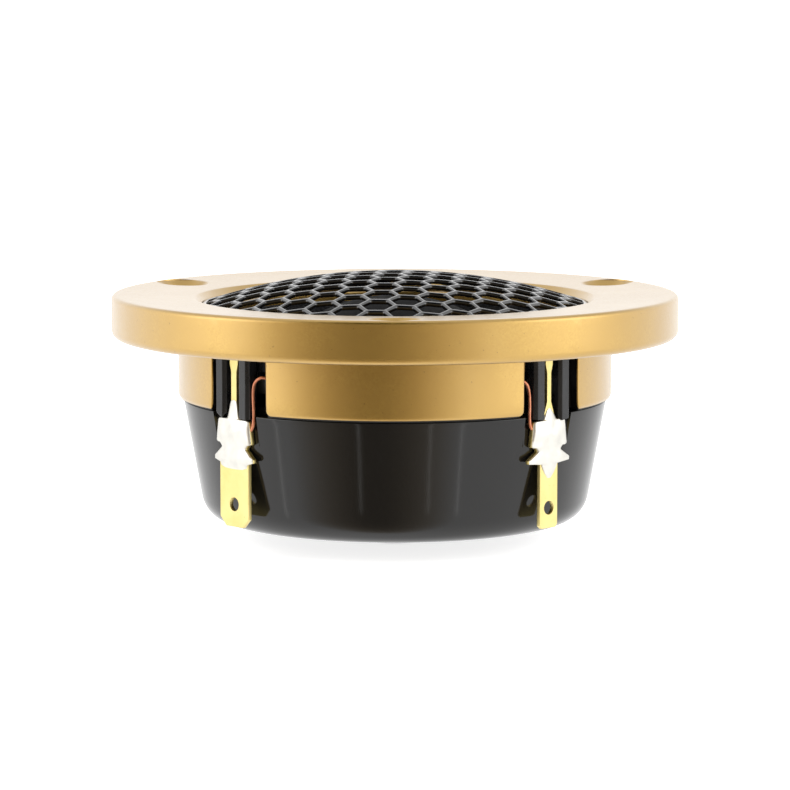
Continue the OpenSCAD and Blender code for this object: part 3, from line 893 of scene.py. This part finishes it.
bend = np.select(
    [kind[:, None] == -1, kind[:, None] == 0, kind[:, None] == 1],
    [lean[-1], inside, lean[1]],
    spread_out,
)
turn = slot_turns[first][:, None] + bend
plate_places = np.stack([new_radius * np.cos(turn), new_radius * np.sin(turn), new_height], -1)
faceplate = piece_of("faceplate_casting", plate_places, net_faces(*plate_places.shape[:2]))


def gold_paint(dial, place):
    flake = dial.node("TexVoronoi", (), {"Vector": place, "Scale": 1000 / 0.2}, "Color")
    flake = dial.node("SeparateColor", (), {0: flake}, 0)
    fine = grain(dial, place, 0.3, 3, 0.6)
    drift = grain(dial, place, 5, 3)
    speck = ramp(dial, grain(dial, place, 0.5, 2, 0.6), 0.7, 0.78)
    body = mixed(dial, 0.5 * fine + 0.5 * flake, shade_of(176, 138, 60), shade_of(192, 156, 73))
    body = mixed(dial, ramp(dial, drift, 0.35, 0.65), body, shade_of(182, 145, 66))
    body = mixed(dial, 0.5 * speck, body, shade_of(104, 78, 36))
    parts = [dial.node("SeparateXYZ", (), {0: place}, axis) for axis in "XYZ"]
    # Painted shade: below the flange, the walls inside the collar and the slots turn near black, with less
    # metal, more roughness and no coat
    deep = ramp(dial, (parts[0] * parts[0] + parts[1] * parts[1]) * 1e6, 24.3**2, 24.38**2, 1.0, 0.0)
    slot_shade = deep * ramp(dial, parts[2] * 1000, 23.1, 23.2, 1.0, 0.0)
    return {
        "Base Color": mixed(dial, slot_shade, body, shade_of(26, 24, 22)),
        "Metallic": 0.9 - 0.5 * slot_shade,
        "Roughness": 0.29 + 0.06 * flake + 0.06 * drift + 0.25 * slot_shade,
        "Coat Weight": 1 - slot_shade,
        "Coat Roughness": 0.25,
        "Coat IOR": 1.6,
        "Normal": bumped(dial, 0.5 * fine + 0.5 * flake + 1.5 * grain(dial, place, 1.1, 1), 0.011, 0.3),
    }


screw_radius, hole_radius, sink_radius = 28.5, 1.6, 2.9
sink_top = 27.64
screw_cuts = []
for angle in np.radians([-90, 30, 150]):
    line = np.array(
        [
            (0, 20), (hole_radius + 0.15, 20), (hole_radius + 0.15, flange_base - 0.05),
            (hole_radius, flange_base + 0.12), (hole_radius, sink_top - 1.38),
            (hole_radius + 0.08, sink_top - 1.22), (sink_radius, sink_top - 0.1),
            (sink_radius + 0.22, sink_top + 0.02), (sink_radius + 0.45, sink_top + 0.8), (0, sink_top + 0.8),
        ]
    )
    places = ring_places(line, np.linspace(0, 2 * np.pi, 72, endpoint=False))
    places[..., :2] += screw_radius * np.array([math.cos(angle), math.sin(angle)])
    screw_cuts.append((places, net_faces(72, len(line), True, False)))
cut(faceplate, tools_of("screw_cuts", screw_cuts), crease=32)
put_on(even_shading(faceplate), finish_of("gold_paint", gold_paint))
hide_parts("faceplate")
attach(faceplate, "frame")

# ---------- Grille ----------
# A disc of steel sheet punched with close six-sided holes, pressed into a shallow dome and painted
# gloss black. It drops into the seat round the opening and is glued there.

grille_radius, sheet, grille_apex = 21.75, 0.5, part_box("grille")[1].z * 1000
grille_rise = grille_apex - 26.64
grille_ball = (grille_radius**2 + grille_rise**2) / (2 * grille_rise)
grille_middle = grille_apex - grille_ball
cell, strand, mesh_turn, mesh_shift = 2.0, 0.42, math.radians(-5.5), np.array([-0.3, 0.52])
columns, rows = np.meshgrid(np.arange(-9, 10), np.arange(-8, 9), indexing="ij")
centres = np.stack([1.5 * cell * columns, math.sqrt(3) * cell * (rows + (np.abs(columns) % 2) / 2)], -1)
centres = (centres.reshape(-1, 2) + mesh_shift) @ np.array(
    [[math.cos(mesh_turn), math.sin(mesh_turn)], [-math.sin(mesh_turn), math.cos(mesh_turn)]]
)
centres = centres[np.hypot(*centres.T) < grille_radius + cell]
edge_marks = np.radians([-30, -26.5, -20, -8, 8, 20, 26.5])
spokes = (np.radians(np.arange(30, 390, 60))[:, None] + edge_marks[None]).ravel()
sides_at = np.radians(np.arange(30, 390, 60))[:, None]
facing = np.maximum(np.cos(spokes[None] - sides_at), 1e-6)
half_width = strand / 2
strand_line = np.array(
    [
        (0, 0), (half_width * 0.5, 0), (half_width * 0.82, 0.04), (half_width, 0.13),
        (half_width, 0.4), (half_width * 0.85, 0.47), (half_width * 0.6, sheet), (0, sheet),
    ]
)
powers = np.array([None, 60, 34, 26, 26, 34, 60, None], object)
cell_rings = []
for (inset, depth), power in zip(strand_line, powers):
    # A six-sided hole with soft corners: the power mean of the distances to its six sides
    reach = 1 / facing.max(0) if power is None else (facing ** float(power)).sum(0) ** (-1 / float(power))
    apothem = cell * math.cos(math.pi / 6) - inset
    cell_rings.append(
        np.stack(
            [
                apothem * reach * np.cos(spokes + mesh_turn),
                apothem * reach * np.sin(spokes + mesh_turn),
                np.full(len(spokes), depth),
            ],
            -1,
        )
    )
one_cell = np.stack(cell_rings, 1)
field = one_cell[None] + np.concatenate([centres, np.zeros((len(centres), 1))], 1)[:, None, None]
out = np.hypot(field[..., 0], field[..., 1])
lifted = grille_middle + np.sqrt((grille_ball - field[..., 2]) ** 2 - out**2)
field = np.stack([field[..., 0], field[..., 1], lifted], -1)
per_cell = len(spokes) * len(strand_line)
cell_net = np.array(net_faces(len(spokes), len(strand_line), True, False))
mesh_net = (cell_net[None] + per_cell * np.arange(len(centres))[:, None, None]).reshape(-1, 4)
# The outermost cells' outer sides have no neighbour, and a wall from top to bottom closes each of them
flat_places = np.round(field.reshape(-1, 3), 4)
_, same = np.unique(flat_places, axis=0, return_inverse=True)
same = same.ravel()
index = (np.arange(len(spokes)) * len(strand_line))[None] + per_cell * np.arange(len(centres))[:, None]
tops = np.stack([index, np.roll(index, -1, 1)], -1).reshape(-1, 2)
keys = np.sort(same[tops], 1)
_, which, uses = np.unique(keys, axis=0, return_inverse=True, return_counts=True)
lone = tops[uses[which.ravel()] == 1]
low = len(strand_line) - 1
walls = np.stack([lone[:, 0], lone[:, 1], lone[:, 1] + low, lone[:, 0] + low], -1)[:, ::-1]
grille = piece_of("grille_mesh", field, mesh_net.tolist() + walls.tolist(), 50)
trim = grille_radius - 0.3
trimmer = np.array([(0, 20), (trim, 20), (trim, 35), (0, 35)])
cut(
    grille,
    tools_of(
        "trimmer",
        [
            (
                ring_places(trimmer, np.linspace(0, 2 * np.pi, 256, endpoint=False)),
                net_faces(256, 4, True, False),
            )
        ],
    ),
    "INTERSECT",
    50,
)


def black_mesh_paint(dial, place):
    drift = grain(dial, place, 4, 2)
    peel = grain(dial, place, 0.45, 2)
    worn = ramp(dial, grain(dial, place, 0.8, 3, 0.7), 0.64, 0.8)
    return {
        "Base Color": mixed(dial, 0.5 * worn, shade_of(7, 7, 8), shade_of(26, 26, 29)),
        "Roughness": 0.12 + 0.08 * drift + 0.15 * worn,
        "Specular IOR Level": 0.8,
        "Coat Weight": 0.5,
        "Coat Roughness": 0.1,
        "Normal": bumped(dial, peel, 0.004, 0.3),
    }


mesh_finish = finish_of("black_mesh_paint", black_mesh_paint)
border_low = grille_middle + math.sqrt((grille_ball - sheet) ** 2 - 21.6**2)
border_top = grille_middle + math.sqrt(grille_ball**2 - 21.4**2)
border_line = eased(
    [
        (21.5, border_low), (grille_radius, 26.16), (grille_radius, border_top - 0.03),
        (21.28, border_top + 0.03), (21.28, border_low + 0.03), (21.5, border_low),
    ],
    [0.12, 0.15, 0.12, 0.1], 4,
)[:-1]
border = piece_of("grille_border", ring_places(border_line, around), net_faces(192, len(border_line)))
for part in (grille, border):
    put_on(part, mesh_finish)
    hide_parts("grille")
    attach(part, "frame")

# ---------- Floor ----------
# A wide sheet of white card under the tweeter, which stands on its boss.


def white_card(dial, place):
    fibre = grain(dial, place, 1.2, 3)
    return {
        "Base Color": mixed(dial, fibre, shade_of(243, 243, 243), shade_of(248, 248, 248)),
        "Roughness": 0.8 + 0.1 * fibre,
        "Specular IOR Level": 0.1,
        "Emission Color": (1, 1, 1, 1),
        "Emission Strength": 0.78,
        "Normal": bumped(dial, fibre, 0.02, 0.2),
    }


card = piece_of(
    "floor",
    [(-9000, -9000, -0.02), (9000, -9000, -0.02), (9000, 9000, -0.02), (-9000, 9000, -0.02)],
    [[0, 1, 2, 3]],
)
put_on(card, finish_of("white_card", white_card))
card.visible_glossy = False

# ---------- Lights ----------
# A pale studio all round that darkens softly towards the viewer, a large soft box overhead, one at
# each side, and narrow strips whose reflections draw the thin upright lines on the gloss cup.

scene = bpy.context.scene
scene.view_settings.view_transform = "Standard"
world = bpy.data.worlds.new("studio")
world.use_nodes = True
world.node_tree.nodes.clear()
sky = Dial(world.node_tree)
looking = sky.node("TexCoord", out="Generated")
upward = sky.node("SeparateXYZ", (), {0: looking}, "Z")
level = sky.node("VectorMath", {"operation": "MULTIPLY"}, {0: looking, 1: (1, 1, 0.22)}, "Vector")
level = sky.node("VectorMath", {"operation": "NORMALIZE"}, {0: level}, "Vector")
lean = sky.node("VectorMath", {"operation": "DOT_PRODUCT"}, {0: level, 1: (-0.208, -0.978, 0)}, "Value")
front = sky.node(
    "MapRange",
    (),
    {"Value": lean, "From Min": 0.62, "From Max": 1, "To Min": 1.6, "To Max": 0.18},
    "Result",
)
seen = sky.node("LightPath", out="Is Camera Ray")
overhead = ramp(sky, upward, 0.3, 0.8, 0.0, -0.5) + ramp(sky, upward, 0.75, 0.97, 0.0, -0.5)
room = front + ramp(sky, lean, -1.0, 0.2, -0.32, 0.0) + overhead
warmth = mixed(sky, ramp(sky, lean, 0.6, 1.0), (1.0, 1.0, 1.0, 1.0), (1.11, 0.92, 0.68, 1.0))
warmth = mixed(sky, seen, warmth, (1.0, 1.0, 1.0, 1.0))
strength = seen * 1.05 + (1 - seen) * room
glow = sky.node("Background", (), {"Color": warmth, "Strength": strength})
sky.node("OutputWorld", (), {"Surface": glow})
scene.world = world


def lamp(name, place, aim, size, power):
    """A rectangular soft light at a place in metres, turned so that it faces the aim."""
    light = bpy.data.lights.new(name, "AREA")
    light.shape, light.size, light.size_y, light.energy = "RECTANGLE", size[0], size[1], power
    held = bpy.data.objects.new(name, light)
    scene.collection.objects.link(held)
    held.location = place
    away = held.location.copy() - held.location.__class__(aim)
    held.rotation_euler = away.to_track_quat("Z", "Y").to_euler()
    return held


heart = (0, 0, 0.018)
lamp("top_box", (0, 0.12, 0.7), heart, (0.8, 0.8), 1)
for sign in (-1, 1):
    lamp("side_box", (sign * 0.62, -0.2, 0.22), heart, (0.4, 0.5), 1)
for angle in (-70, -20.5, 20, 38):
    turn = math.radians(angle)
    lamp("strip", (0.9 * math.sin(turn), -0.9 * math.cos(turn), -0.22), heart, (0.006, 0.5), 0.04)

# ---------- Camera ----------
# A long lens a little above the flange, level with the front and centred between the terminals.

lens = bpy.data.cameras.new("camera")
lens.lens, lens.sensor_width, lens.clip_start = 171.84, 36, 0.01
camera = bpy.data.objects.new("camera", lens)
scene.collection.objects.link(camera)
camera.location = (0, -0.42485, 0.06751)
gaze = camera.location - camera.location.__class__((0, 0, 0.01614))
camera.rotation_euler = gaze.to_track_quat("Z", "Y").to_euler()
scene.camera = camera
